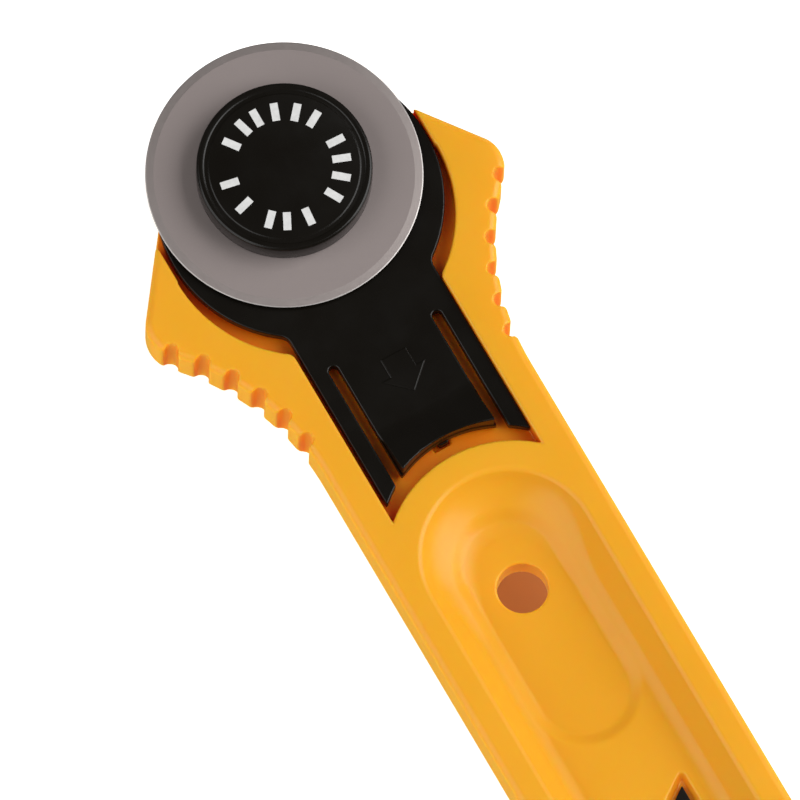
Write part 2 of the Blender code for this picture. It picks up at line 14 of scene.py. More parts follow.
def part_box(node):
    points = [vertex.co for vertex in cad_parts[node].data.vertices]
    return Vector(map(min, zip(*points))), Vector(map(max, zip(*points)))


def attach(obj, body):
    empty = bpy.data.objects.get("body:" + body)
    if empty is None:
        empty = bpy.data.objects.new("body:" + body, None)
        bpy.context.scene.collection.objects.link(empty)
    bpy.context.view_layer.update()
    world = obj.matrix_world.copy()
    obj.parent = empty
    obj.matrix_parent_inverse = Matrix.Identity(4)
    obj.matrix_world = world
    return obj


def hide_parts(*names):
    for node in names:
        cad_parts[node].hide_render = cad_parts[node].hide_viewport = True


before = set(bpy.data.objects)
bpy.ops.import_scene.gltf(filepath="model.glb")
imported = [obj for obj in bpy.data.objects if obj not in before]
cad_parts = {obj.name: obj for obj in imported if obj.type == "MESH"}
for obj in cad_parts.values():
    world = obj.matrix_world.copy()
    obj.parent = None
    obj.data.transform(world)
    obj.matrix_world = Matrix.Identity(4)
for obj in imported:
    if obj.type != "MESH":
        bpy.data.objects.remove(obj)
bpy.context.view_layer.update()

MM = 0.001
BLADE_LOW, BLADE_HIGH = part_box("blade")
BLADE_PLANE = (BLADE_LOW.z + BLADE_HIGH.z) / 2

# ---------------------------------------------------------------- sizes, in millimetres

# Handle
NOSE_RADIUS = 11.9
WING_NORMAL = (0.8, 0.6)
CORNER_RADIUS = 3.1
FLARE_X, FLARE_Y = 38.1, -29.0
HALF_WIDTH = 12.0
FLARE_RADIUS = FLARE_X - HALF_WIDTH
HANDLE_END_CENTRE = -122.0
HANDLE_BACK = -8.0
FRONT_ROUNDING = 0.9
BACK_ROUNDING = 3.5
NOTCH_RADIUS = 0.70
NOTCH_REACH = FLARE_RADIUS + 0.45
NOTCH_ANGLES = [math.radians(44.0 - 7.2 * number) for number in range(6)]
LOBE_ROUNDING = 0.6
NOTCH_EDGE = 0.14
HANDLE_BOX = ((-20.6, -134.1, -8.0), (20.6, 12.0, 0.0))

RECESS_FLOOR = -2.05
RECESS_Y = -4.6
RECESS_RADIUS = 14.95
RECESS_WALL_X = 14.85
CHANNEL_HALF = 8.55
RECESS_END_Y = -46.8
RECESS_END_RADIUS = 12.9
RECESS_CORNER = 0.4
RECESS_FILLET = 0.15
EDGE = 0.22
FINE_EDGE = 0.1
TOOL_HEIGHT = 1.0

BOSS_RADIUS = 4.5
BOSS_TOP = -0.30
BOLT_HOLE_RADIUS = 2.65
BOLT_HOLE_FLAT = 2.15
DETENT_HALF = 0.95
DETENT_MIDDLES = (-31.6, -28.6)
DETENT_REACH = 0.66
DETENT_FLOOR = -2.52
DETENT_RIDGE = -2.42

TROUGH_HALF = 8.95
TROUGH_ENDS = (-45.8, -120.0)
TROUGH_FLOOR = -3.3
TROUGH_SLOPE = 0.77
TROUGH_FILLET = 0.85
TROUGH_END_FILLET = 2.6
TROUGH_CHANGE = (-52.0, -42.0)
PAD_EDGE = (6.1, 4.5)
PAD_ENDS = (-45.9, -60.8)
PAD_DEPTH = 0.6
TROUGH_RIM = 0.3
HOLE_Y = -48.5
HOLE_RADIUS = 2.575
RELIEF_HALF = 7.0
RELIEF_ENDS = (-44.0, -119.0)
RELIEF_FLOOR = -7.0
RELIEF_FILLET = 0.4
RELIEF_RIM = 0.3
BADGE_HALF = 3.95
BADGE_TIP = -73.7
BADGE_FOOT = -106.0
BADGE_SLANT = 0.708
BADGE_FLOOR = -4.1
BADGE_LEAN = 0.55
BADGE_CORNER = 0.25
POCKET_GAP = 0.05
POCKET_RIM = 0.12
INLAY_GAP = 0.33
INLAY_HEIGHT = 0.45
INLAY_EDGE = 0.1

# Guard
GUARD_TOP = -0.55
GUARD_BOTTOM = -1.75
GUARD_RADIUS = 14.55
GUARD_Y = -2.9
GUARD_X = 0.2
NECK_HALF = 8.3
SLOT_MIDDLE = 5.975
SLOT_HALF = 0.525
SLOT_TOP = -20.28
SLOT_FOOT = -60.0
GUARD_END_Y = -43.9
GUARD_END_RADIUS = 12.0
GUARD_EDGE = 0.16
BOSS_SLOT_HALF = 4.8
GUARD_TRAVEL = 3.0
GUARD_BOX = ((-14.6, -35.5, -2.4), (14.6, 11.7, 2.3))
NECK_JOIN = 0.5
GUARD_END_EDGE = 0.2
SLOT_EDGE = 0.12
THUMB_HALF = 5.35
THUMB_START = -28.5
THUMB_START_TOP = 0.6
THUMB_RISE = 0.247
THUMB_LEAN = 0.40
THUMB_CORNER = 0.25
THUMB_CREST = 0.8
THUMB_ROOT = 0.4
THUMB_JOIN = 0.3
DISH_RADIUS = 20.0
BUMP_HALF = 0.55
BUMP_Y = (-32.2, -31.0)
BUMP_BOTTOM = -2.35
BUMP_EDGE = 0.2

# Arrow on the guard: along the middle its tip, barbs and tail, then half widths
ARROW_TIP, ARROW_BARB, ARROW_TAIL = -26.1, -23.7, -21.6
ARROW_MIDDLE = GUARD_X + 0.1
ARROW_HALF = 2.6
SHAFT_HALF = 1.5
ARROW_SUNK = 0.1
ARROW_PROUD = 0.12
ARROW_EDGE = 0.15

# Blade
HONED_HALF = 0.05
EDGE_HALF = 0.01
BLADE_HALF = 0.15
BLADE_HOLE = 4.0
BLADE_RIM = 13.15
BLADE_HONED = 13.90
BLADE_EDGE = 14.0

# Cap: radius and height of its drum, the two fine steps round its face, its spigot and its socket
CAP_PROFILE = (
    (0.0, 2.80), (7.62, 2.80), (7.70, 2.72), (8.10, 2.70), (8.20, 2.78), (8.62, 2.78), (8.82, 2.62),
    (8.88, 2.40), (8.88, 0.25), (3.9, 0.25), (3.9, -0.20), (2.65, -0.20), (2.65, 0.85), (0.0, 0.85),
)
CAP_EDGE = 0.04
MARK_DEGREES = (127, 106, 89.5, 70, 49, 30, -2, -21, -40, -61, -95, -117, -134, -164, 169)
MARK_INNER, MARK_OUTER, MARK_WIDTH = 4.85, 6.75, 0.8
MARK_LOW, MARK_HIGH, MARK_EDGE = 2.78, 2.83, 0.02

# Knob
KNOB_RADIUS = 8.5
KNOB_FLUTE = 0.65
KNOB_LOBES = 10
KNOB_SLANT = 0.97
KNOB_INNER_ROUNDING = 0.5
KNOB_OUTER_ROUNDING = 0.9
KNOB_DISH_RADIUS = 6.0
KNOB_DISH_DEPTH = 0.35
KNOB_DISH_FILLET = 0.6
KNOB_DISH_RIM = 0.25
KNOB_DISH_MOUTH = 2.0
KNOB_BORE_RADIUS = 4.75
KNOB_BORE_DEPTH = 4.3
KNOB_BORE_EDGE = 0.2
KNOB_MARGIN = 0.1
KNOB_LOW, KNOB_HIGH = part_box("knob")
KNOB_FOOT = (KNOB_LOW.z - BLADE_PLANE) / MM
KNOB_TOP = (KNOB_HIGH.z - BLADE_PLANE) / MM

# Floor: where the shade painted on it begins and ends round the hole, beside, ahead of and behind the
# handle
FLOOR_SIZE = 6.0
FLOOR_GAP = 0.02
SHADE_HOLE = (5.4, 10.5)
SHADE_SIDE = (2.0, 10.0)
SHADE_FRONT = (-44.0, -22.0)
SHADE_END = (-136.0, -112.0)
FLOOR_PALE, FLOOR_DULL = (0.96, 0.96, 0.96), (0.94, 0.94, 0.94)
# Colours of the painted shadow under the handle and of the darker painted shade under its hole
FLOOR_SHADE = (0.78, 0.66, 0.56)
FLOOR_HOLE_SHADE = (0.42, 0.17, 0.055)
FLOOR_GLOW = (0.97, 0.98, 1.0)
FLOOR_GLOW_STRENGTH = 0.65
FLOOR_ROUGHNESS = 0.9

# Light
SKY_COLOUR = (1.0, 0.98, 0.95)
SKY_STRENGTH = 0.11
LIGHT_DISTANCE = 1.0

# Camera
VIEW_RIGHT = (0.86895, -0.49467, 0.01506)
VIEW_BACK = (-0.1594, -0.2509, 0.9548)
VIEW_OFFSET = (11.645, -22.66)
VIEW_WIDTH = 80.45
VIEW_DISTANCE = 3.0
SENSOR_WIDTH = 36.0

HANDLE_STEP, HANDLE_KEEP = 0.22, 0.35
GUARD_STEP, GUARD_KEEP = 0.16, 0.8
KNOB_STEP, KNOB_KEEP = 0.16, 0.35
BLADE_STEPS, CAP_STEPS = 256, 192
BLADE_CREASE, CAP_CREASE = 4.0, 24.0


# Finishes: pattern sizes as noise scales, and relief and reach in metres
CLOUD_SCALE, STAIN_SCALE, UNEVEN_SCALE, WEAR_SCALE = 55.0, 45.0, 260.0, 1800.0
WAVE_SCALE, WAVE_DEPTH = 90.0, 0.00002
GRAIN_SCALE, GRAIN_DEPTH = 2400.0, 0.000004
LINE_DEPTH = 0.0000012
# How far the painted shade in hollows reaches, in metres
PAINTED_SHADE_REACH = 0.003
SCATTER_WEIGHT = 0.6
SCATTER_COLOUR = (1.0, 0.3, 0.05)
SCATTER_REACH = 0.0015
PLASTIC_IOR = 1.5


# ---------------------------------------------------------------- rounded solids from distances

def round_max(first, second, radius):
    """What two shapes share, with the edge between them rounded."""
    inside = np.minimum(np.maximum(first, second), -radius)
    return inside + np.hypot(np.maximum(first + radius, 0.0), np.maximum(second + radius, 0.0))


def cut(shape, tool, radius):
    return round_max(shape, -tool, radius)


def join(first, second, radius):
    return -round_max(-first, -second, radius)


def lane(x, y, ends):
    """Distance from a line along Y between two ends."""
    return np.hypot(x, y - np.clip(y, ends[1], ends[0]))


def crossed_cells(values):
    """Which grid cells the surface passes through."""
    inside = (values < 0.0).astype(np.int8)
    total = np.zeros([size - 1 for size in values.shape], np.int8)
    for dx in (0, 1):
        for dy in (0, 1):
            for dz in (0, 1):
                total += inside[dx:dx + total.shape[0], dy:dy + total.shape[1], dz:dz + total.shape[2]]
    return (total > 0) & (total < 8)


def crossing_faces(values, number):
    """A quad round each grid edge that the surface crosses, wound to face outwards."""
    quads = []
    for axis in range(3):
        one, two = (axis + 1) % 3, (axis + 2) % 3
        ahead = np.moveaxis(values < 0.0, (axis, one, two), (0, 1, 2))
        cells = np.moveaxis(number, (axis, one, two), (0, 1, 2))
        low, high = ahead[:-1, 1:-1, 1:-1], ahead[1:, 1:-1, 1:-1]
        corners = (cells[:, :-1, :-1], cells[:, 1:, :-1], cells[:, 1:, 1:], cells[:, :-1, 1:])
        for outward, order in ((low & ~high, (0, 1, 2, 3)), (~low & high, (3, 2, 1, 0))):
            quads.append(np.stack([corners[k][outward] for k in order], axis=1))
    return np.concatenate(quads)


def slope(field, points, reach=0.004):
    """Direction in which the distance grows, at each point."""
    parts = []
    for axis in range(3):
        offset = np.zeros(3)
        offset[axis] = reach
        ahead = field(*(points + offset).T)
        behind = field(*(points - offset).T)
        parts.append((ahead - behind) / (2 * reach))
    return np.stack(parts, axis=1)


def settle(field, points, step, rounds=5):
    """Move each point straight onto the surface, by at most a step a round."""
    for _ in range(rounds):
        value = field(*points.T)
        direction = slope(field, points)
        size = np.maximum((direction ** 2).sum(axis=1), 0.05)
        move = direction * (value / size)[:, None]
        points = points - np.clip(move, -step, step)
    return points


def relax(points, quads, share=0.5):
    """Move each point towards the middle of its faces."""
    middles = points[quads].mean(axis=1)
    total = np.zeros_like(points)
    count = np.zeros(len(points))
    for corner in range(4):
        np.add.at(total, quads[:, corner], middles)
        np.add.at(count, quads[:, corner], 1.0)
    return points + share * (total / count[:, None] - points)


def skin(name, field, low, high, step, keep):
    """Mesh object, in metres, of the solid where the field is below 0, thinned to a share of its faces."""
    axes = [np.arange(a - 1.5 * step, b + 2.5 * step, step) for a, b in zip(low, high)]
    grid = np.meshgrid(*axes, indexing="ij", sparse=True)
    values = np.broadcast_to(field(*grid), [len(axis) for axis in axes])
    cells = crossed_cells(values)
    number = np.full(cells.shape, -1)
    number[cells] = np.arange(cells.sum())
    points = np.argwhere(cells) * step + step / 2 + [axis[0] for axis in axes]
    quads = crossing_faces(values, number)
    for _ in range(3):
        points = settle(field, relax(points, quads), step, rounds=2)
    points = settle(field, points, step)
    rough = bpy.data.meshes.new(name + "_rough")
    rough.from_pydata(points.tolist(), [], quads.tolist())
    piece = bpy.data.objects.new(name, rough)
    bpy.context.scene.collection.objects.link(piece)
    thin = piece.modifiers.new("thin", "DECIMATE")
    thin.ratio = keep
    graph = bpy.context.evaluated_depsgraph_get()
    mesh = bpy.data.meshes.new_from_object(piece.evaluated_get(graph))
    piece.modifiers.clear()
    piece.data = mesh
    bpy.data.meshes.remove(rough)
    fit_and_shade(field, mesh, step)
    mesh.transform(Matrix.Translation((0.0, 0.0, BLADE_PLANE)) @ Matrix.Scale(MM, 4))
    return piece


def fit_and_shade(field, mesh, step):
    """Put thinned vertices back on the surface and take the shading normals from the field."""
    co = np.empty(len(mesh.vertices) * 3)
    mesh.vertices.foreach_get("co", co)
    points = settle(field, co.reshape(-1, 3), 0.25 * step, rounds=3)
    mesh.vertices.foreach_set("co", points.ravel())
    mesh.shade_smooth()
    normals = slope(field, points)
    normals /= np.maximum(np.linalg.norm(normals, axis=1), 1e-9)[:, None]
    mesh.normals_split_custom_set_from_vertices(normals.tolist())


# ---------------------------------------------------------------- handle

def handle_plan(x, y):
    """Nose, straight wings, round corners, hollow flares, straight grip and round end."""
    side_x = np.abs(x)
    wing = WING_NORMAL[0] * side_x + WING_NORMAL[1] * y - NOSE_RADIUS
    ahead = WING_NORMAL[0] * y - WING_NORMAL[1] * side_x > 0.0
    head = np.where(ahead, np.hypot(x, y) - NOSE_RADIUS, wing)
    flare = FLARE_RADIUS - np.hypot(side_x - FLARE_X, y - FLARE_Y)
    grip = lane(x, y, (FLARE_Y, HANDLE_END_CENTRE)) - HALF_WIDTH
    side = np.where(y > FLARE_Y, flare, grip)
    return round_max(head, side, CORNER_RADIUS)


def notches(x, y):
    nearest = np.full(np.broadcast(x, y).shape, 99.0)
    for angle in NOTCH_ANGLES:
        centre_x = FLARE_X - NOTCH_REACH * math.cos(angle)
        centre_y = FLARE_Y + NOTCH_REACH * math.sin(angle)
        groove = np.hypot(np.abs(x) - centre_x, y - centre_y) - NOTCH_RADIUS
        nearest = np.minimum(nearest, groove)
    return nearest


def recess(x, y, z):
    """Pocket and channel of the guard, clear to the front over the nose."""
    side_x = np.abs(x)
    disc = np.where(y < RECESS_Y, np.hypot(x, y - RECESS_Y) - RECESS_RADIUS, side_x - RECESS_WALL_X)
    stop = RECESS_END_RADIUS - np.hypot(x, y - RECESS_END_Y)
    stop = np.maximum(stop, RECESS_END_Y - y)
    channel = np.maximum(np.maximum(side_x - CHANNEL_HALF, stop), y - RECESS_Y)
    return round_max(join(disc, channel, RECESS_CORNER), RECESS_FLOOR - z, RECESS_FILLET)


def detents(x, y, z):
    """Two hollows in the recess's floor, and the low saddle between them."""
    row = (DETENT_MIDDLES[1] + DETENT_REACH, DETENT_MIDDLES[0] - DETENT_REACH)
    saddle = np.maximum(np.maximum(y - row[0], row[1] - y), DETENT_RIDGE - z)
    first = np.maximum(np.abs(y - DETENT_MIDDLES[0]) - DETENT_REACH, DETENT_FLOOR - z)
    second = np.maximum(np.abs(y - DETENT_MIDDLES[1]) - DETENT_REACH, DETENT_FLOOR - z)
    hollow = join(np.minimum(first, second), saddle, FINE_EDGE)
    hollow = round_max(np.abs(x) - DETENT_HALF, hollow, RECESS_FILLET)
    return np.maximum(hollow, z - RECESS_FLOOR - TOOL_HEIGHT)


def trough(x, y, z):
    """Long hollow with leaning walls, and a softly sunken oval in its floor."""
    share = (PAD_EDGE[0] - lane(x, y, PAD_ENDS)) / (PAD_EDGE[0] - PAD_EDGE[1])
    share = np.clip(share, 0.0, 1.0)
    floor = TROUGH_FLOOR - PAD_DEPTH * share * share * (3.0 - 2.0 * share)
    across = math.cos(math.atan(TROUGH_SLOPE))
    wall = (lane(x, y, TROUGH_ENDS) - TROUGH_HALF - TROUGH_SLOPE * z) * across
    near_end = np.clip((y - TROUGH_CHANGE[0]) / (TROUGH_CHANGE[1] - TROUGH_CHANGE[0]), 0.0, 1.0)
    near_end = near_end * near_end * (3.0 - 2.0 * near_end)
    return round_max(wall, floor - z, TROUGH_FILLET + (TROUGH_END_FILLET - TROUGH_FILLET) * near_end)


def badge_plan(x, y):
    """Long bar with both ends slanted the same way."""
    tilt = 1.0 / math.hypot(1.0, BADGE_SLANT)
    top = (y - BADGE_TIP - BADGE_SLANT * (x - BADGE_HALF)) * tilt
    foot = (BADGE_FOOT + BADGE_SLANT * (x + BADGE_HALF) - y) * tilt
    return round_max(np.abs(x) - BADGE_HALF, np.maximum(top, foot), BADGE_CORNER)


def badge_pocket(x, y, z):
    """Shallow pocket for the badge, its walls leaning outwards."""
    across = math.cos(math.atan(BADGE_LEAN))
    wall = (badge_plan(x, y) - POCKET_GAP - BADGE_LEAN * (z - BADGE_FLOOR)) * across
    return np.maximum(round_max(wall, BADGE_FLOOR - z, FINE_EDGE), z - TROUGH_FLOOR - TOOL_HEIGHT)


def handle_field(x, y, z):
    plan = handle_plan(x, y)
    shape = round_max(plan, z, FRONT_ROUNDING)
    shape = round_max(shape, HANDLE_BACK - z, BACK_ROUNDING)
    shape = round_max(shape, round_max(plan, -notches(x, y), LOBE_ROUNDING), NOTCH_EDGE)
    shape = cut(shape, recess(x, y, z), EDGE)
    boss = round_max(np.hypot(x, y) - BOSS_RADIUS, z - BOSS_TOP, FINE_EDGE)
    shape = join(shape, boss, FINE_EDGE)
    bolt_hole = round_max(np.hypot(x, y) - BOLT_HOLE_RADIUS, np.abs(x) - BOLT_HOLE_FLAT, FINE_EDGE)
    shape = cut(shape, bolt_hole, FINE_EDGE)
    shape = cut(shape, detents(x, y, z), FINE_EDGE)
    shape = cut(shape, trough(x, y, z), TROUGH_RIM)
    shape = cut(shape, np.hypot(x, y - HOLE_Y) - HOLE_RADIUS, EDGE)
    shape = cut(shape, badge_pocket(x, y, z), POCKET_RIM)
    relief = round_max(lane(x, y, RELIEF_ENDS) - RELIEF_HALF, z - RELIEF_FLOOR, RELIEF_FILLET)
    return cut(shape, relief, RELIEF_RIM)


# ---------------------------------------------------------------- guard

def guard_plan(x, y):
    side_x = np.abs(x - GUARD_X)
    disc = np.hypot(side_x, y - GUARD_Y) - GUARD_RADIUS
    neck = np.maximum(side_x - NECK_HALF, y - GUARD_Y)
    hollow = np.maximum(GUARD_END_RADIUS - np.hypot(side_x, y - GUARD_END_Y), GUARD_END_Y - y)
    shape = round_max(join(disc, neck, NECK_JOIN), hollow, GUARD_END_EDGE)
    slot = lane(side_x - SLOT_MIDDLE, y, (SLOT_TOP, SLOT_FOOT)) - SLOT_HALF
    shape = cut(shape, slot, SLOT_EDGE)
    return cut(shape, lane(x, y, (0.0, -GUARD_TRAVEL)) - BOSS_SLOT_HALF, FINE_EDGE)


def thumb_block(x, y, z):
    """Block on the end of the tongue, its top climbing backwards and dished from side to side."""
    side_x = np.abs(x - GUARD_X)
    hollow = np.maximum(GUARD_END_RADIUS - np.hypot(side_x, y - GUARD_END_Y), GUARD_END_Y - y)
    plan = round_max(side_x - THUMB_HALF, hollow, THUMB_CORNER)
    front = (y - THUMB_START) * THUMB_LEAN + (z - GUARD_TOP) * math.sqrt(1.0 - THUMB_LEAN ** 2)
    edge_top = THUMB_START_TOP + THUMB_RISE * (THUMB_START - y)
    lift = math.sqrt(DISH_RADIUS ** 2 - THUMB_HALF ** 2)
    up = lift - (z - edge_top) * math.cos(math.atan(THUMB_RISE))
    top = round_max(DISH_RADIUS - np.hypot(side_x, up), front, THUMB_CREST)
    block = round_max(plan, top, GUARD_EDGE)
    return np.maximum(block, GUARD_BOTTOM + THUMB_ROOT - z)


def guard_field(x, y, z):
    half = (GUARD_TOP - GUARD_BOTTOM) / 2
    middle = (GUARD_TOP + GUARD_BOTTOM) / 2
    shape = round_max(guard_plan(x, y), np.abs(z - middle) - half, GUARD_EDGE)
    shape = join(shape, thumb_block(x, y, z), THUMB_JOIN)
    bump_middle, bump_half = (BUMP_Y[0] + BUMP_Y[1]) / 2, (BUMP_Y[1] - BUMP_Y[0]) / 2
    along = np.abs(y - bump_middle) - bump_half
    bump = round_max(np.abs(x - GUARD_X) - BUMP_HALF, along, BUMP_EDGE)
    bump = round_max(bump, np.maximum(BUMP_BOTTOM - z, z - middle), BUMP_EDGE)
    return join(shape, bump, FINE_EDGE)


# ---------------------------------------------------------------- knob

def knob_field(x, y, z):
    """Fluted round knob, its outer face slightly dished, hollow round the insert."""
    radius = np.hypot(x, y)
    angle = np.arctan2(y, x)
    flute = KNOB_FLUTE * (0.5 - 0.5 * np.cos(KNOB_LOBES * angle))
    side = (radius - KNOB_RADIUS + flute) * KNOB_SLANT
    shape = round_max(side, z - KNOB_TOP, KNOB_INNER_ROUNDING)
    shape = round_max(shape, KNOB_FOOT - z, KNOB_OUTER_ROUNDING)
    dish = round_max(radius - KNOB_DISH_RADIUS, z - KNOB_FOOT - KNOB_DISH_DEPTH, KNOB_DISH_FILLET)
    shape = cut(shape, np.maximum(dish, KNOB_FOOT - KNOB_DISH_MOUTH - z), KNOB_DISH_RIM)
    bore = round_max(radius - KNOB_BORE_RADIUS, KNOB_TOP - KNOB_BORE_DEPTH - z, KNOB_BORE_EDGE)
    return cut(shape, bore, KNOB_BORE_EDGE)


# ---------------------------------------------------------------- turned and flat pieces

def place(name, mesh):
    piece = bpy.data.objects.new(name, mesh)
    bpy.context.scene.collection.objects.link(piece)
    return piece


def turned(name, profile, steps, crease_deg, edge_width=0.0, is_ring=False):
    """Turn a profile of (radius, height) points, in millimetres, about the bolt axis."""
    mesh = bpy.data.meshes.new(name)
    points = [(radius * MM, 0.0, BLADE_PLANE + height * MM) for radius, height in profile]
    edges = [(index, index + 1) for index in range(len(points) - 1)]
    if is_ring:
        edges.append((len(points) - 1, 0))
    mesh.from_pydata(points, edges, [])
    piece = place(name, mesh)
    screw = piece.modifiers.new("turn", "SCREW")
    screw.steps = steps
    screw.render_steps = steps
    screw.use_merge_vertices = True
    screw.merge_threshold = 0.000002
    if edge_width:
        bevel = piece.modifiers.new("edge", "BEVEL")
        bevel.width = edge_width * MM
        bevel.segments = 3
        bevel.limit_method = "ANGLE"
        bevel.angle_limit = math.radians(28.0)
        bevel.harden_normals = True
    graph = bpy.context.evaluated_depsgraph_get()
    done = bpy.data.meshes.new_from_object(piece.evaluated_get(graph))
    piece.modifiers.clear()
    piece.data = done
    done.shade_smooth()
    done.set_sharp_from_angle(angle=math.radians(crease_deg))
    return piece


def bevelled_plate(shape, outline, low, high, edge_width, placing, segments=1):
    """Add a flat bevelled plate, outlined in millimetres, to a bmesh."""
    made = [shape.verts.new(placing @ Vector((x, y, low))) for x, y in outline]
    face = shape.faces.new(made)
    grown = bmesh.ops.extrude_face_region(shape, geom=[face])
    top = [item for item in grown["geom"] if isinstance(item, bmesh.types.BMVert)]
    rise = placing.to_3x3() @ Vector((0.0, 0.0, high - low))
    bmesh.ops.translate(shape, vec=rise, verts=top)
    rim = [edge for edge in shape.edges if edge.verts[0] in top and edge.verts[1] in top]
    bmesh.ops.bevel(shape, geom=rim, offset=edge_width, segments=segments, affect="EDGES", profile=0.5)


def finished(name, shape):
    """Turn a bmesh in millimetres into an object at the blade's height."""
    bmesh.ops.recalc_face_normals(shape, faces=shape.faces)
    mesh = bpy.data.meshes.new(name)
    shape.to_mesh(mesh)
    shape.free()
    mesh.transform(Matrix.Translation((0.0, 0.0, BLADE_PLANE)) @ Matrix.Scale(MM, 4))
    return place(name, mesh)


# ---------------------------------------------------------------- materials

class Nodes:
    """Short hand for adding and linking the nodes of one material."""

    def __init__(self, name):
        self.material = bpy.data.materials.new(name)
        self.material.use_nodes = True
        self.tree = self.material.node_tree
        self.shader = self.tree.nodes["Principled BSDF"]
        coordinates = self.tree.nodes.new("ShaderNodeTexCoord")
        self.place = coordinates.outputs["Object"]

    def link(self, source, target):
        self.tree.links.new(source, target)

    def stretched(self, scale):
        node = self.tree.nodes.new("ShaderNodeMapping")
        node.inputs["Scale"].default_value = scale
        self.link(self.place, node.inputs["Vector"])
        return node.outputs["Vector"]

    def noise(self, scale, detail=3.0, place=None):
        node = self.tree.nodes.new("ShaderNodeTexNoise")
        node.inputs["Scale"].default_value = scale
        node.inputs["Detail"].default_value = detail
        self.link(place or self.place, node.inputs["Vector"])
        return node.outputs["Fac"]

    def ramp(self, source, low, high, start=0.3, end=0.7, course="LINEAR"):
        """Map a pattern to a number between low and high."""
        node = self.tree.nodes.new("ShaderNodeMapRange")
        node.interpolation_type = course
        node.inputs["From Min"].default_value = start
        node.inputs["From Max"].default_value = end
        node.inputs["To Min"].default_value = low
        node.inputs["To Max"].default_value = high
        self.link(source, node.inputs["Value"])
        return node.outputs["Result"]

    def soft_ramp(self, source, reach, low=0.0, high=1.0):
        """Fade between two places, given in millimetres."""
        start, end = reach
        return self.ramp(source, low, high, start * MM, end * MM, "SMOOTHSTEP")

    def over(self, source, first, second):
        """Mix from a colour to a coloured pattern."""
        node = self.tree.nodes.new("ShaderNodeMix")
        node.data_type = "RGBA"
        node.inputs["A"].default_value = (*first, 1.0)
        self.link(second, node.inputs["B"])
        self.link(source, node.inputs["Factor"])
        return node.outputs["Result"]

    def maths(self, operation, *sources):
        node = self.tree.nodes.new("ShaderNodeMath")
        node.operation = operation
        for source, target in zip(sources, node.inputs):
            self.link(source, target)
        return node.outputs["Value"]

    def tone(self, source, first, second):
        """Mix two colours by a pattern."""
        node = self.tree.nodes.new("ShaderNodeMix")
        node.data_type = "RGBA"
        node.inputs["A"].default_value = (*first, 1.0)
        node.inputs["B"].default_value = (*second, 1.0)
        self.link(source, node.inputs["Factor"])
        return node.outputs["Result"]

    def bump(self, source, depth, strength=1.0, after=None):
        node = self.tree.nodes.new("ShaderNodeBump")
        node.inputs["Strength"].default_value = strength
        node.inputs["Distance"].default_value = depth
        self.link(source, node.inputs["Height"])
        if after:
            self.link(after, node.inputs["Normal"])
        return node.outputs["Normal"]


def moulded_plastic(name, light, dark, roughness, gloss=0.3):
    """Injection-moulded plastic: faint cloudy tone, uneven gloss, fine grain over slow waves."""
    nodes = Nodes(name)
    clouds = nodes.ramp(nodes.noise(CLOUD_SCALE, 4.0), 0.0, 1.0)
    nodes.link(nodes.tone(clouds, light, dark), nodes.shader.inputs["Base Color"])
    uneven = nodes.ramp(nodes.noise(UNEVEN_SCALE, 5.0), roughness - 0.04, roughness + 0.05)
    nodes.link(uneven, nodes.shader.inputs["Roughness"])
    waves = nodes.bump(nodes.noise(WAVE_SCALE, 2.0), WAVE_DEPTH, 0.35)
    grained = nodes.bump(nodes.noise(GRAIN_SCALE, 2.0), GRAIN_DEPTH, 0.6, waves)
    nodes.link(grained, nodes.shader.inputs["Normal"])
    nodes.shader.inputs["IOR"].default_value = PLASTIC_IOR
    nodes.shader.inputs["Specular IOR Level"].default_value = gloss
    return nodes


def translucent_plastic_painted_shade(name, light, dark, painted_shade, roughness):
    """Moulded plastic that carries light inside, the red furthest, with a deeper colour painted as shade
    into its hollows.
    """
    nodes = moulded_plastic(name, light, dark, roughness)
    surface = nodes.shader.inputs["Base Color"].links[0].from_socket
    # Painted shade: where ambient occlusion finds a hollow, the base colour is mixed towards a deeper
    # shade colour.
    hollow = nodes.tree.nodes.new("ShaderNodeAmbientOcclusion")
    hollow.samples = 8
    hollow.inputs["Distance"].default_value = PAINTED_SHADE_REACH
    mixed = nodes.over(nodes.ramp(hollow.outputs["AO"], 0.0, 1.0, 0.25, 0.95), painted_shade, surface)
    nodes.link(mixed, nodes.shader.inputs["Base Color"])
    nodes.shader.inputs["Subsurface Weight"].default_value = SCATTER_WEIGHT
    nodes.shader.inputs["Subsurface Radius"].default_value = SCATTER_COLOUR
    nodes.shader.inputs["Subsurface Scale"].default_value = SCATTER_REACH
    return nodes


def ground_steel(name, light, dark, roughness, scale, stretch, metal=1.0):
    """Steel with fine grinding lines along one direction and faint cloudy stains."""
    nodes = Nodes(name)
    lines = nodes.noise(scale, 4.0, nodes.stretched(stretch))
    stains = nodes.ramp(nodes.noise(STAIN_SCALE, 2.0), 0.0, 1.0)
    nodes.link(nodes.tone(stains, light, dark), nodes.shader.inputs["Base Color"])
    nodes.link(nodes.ramp(lines, roughness - 0.03, roughness + 0.04), nodes.shader.inputs["Roughness"])
    nodes.link(nodes.bump(lines, LINE_DEPTH, 0.5), nodes.shader.inputs["Normal"])
    nodes.shader.inputs["Metallic"].default_value = metal
    return nodes


def printed_ink(name, colour):
    nodes = Nodes(name)
    wear = nodes.noise(WEAR_SCALE, 4.0)
    worn = tuple(0.86 * part for part in colour)
    nodes.link(nodes.tone(nodes.ramp(wear, 0.0, 1.0), colour, worn), nodes.shader.inputs["Base Color"])
    nodes.link(nodes.bump(wear, GRAIN_DEPTH, 0.4), nodes.shader.inputs["Normal"])
    nodes.shader.inputs["Roughness"].default_value = 0.5
    return nodes
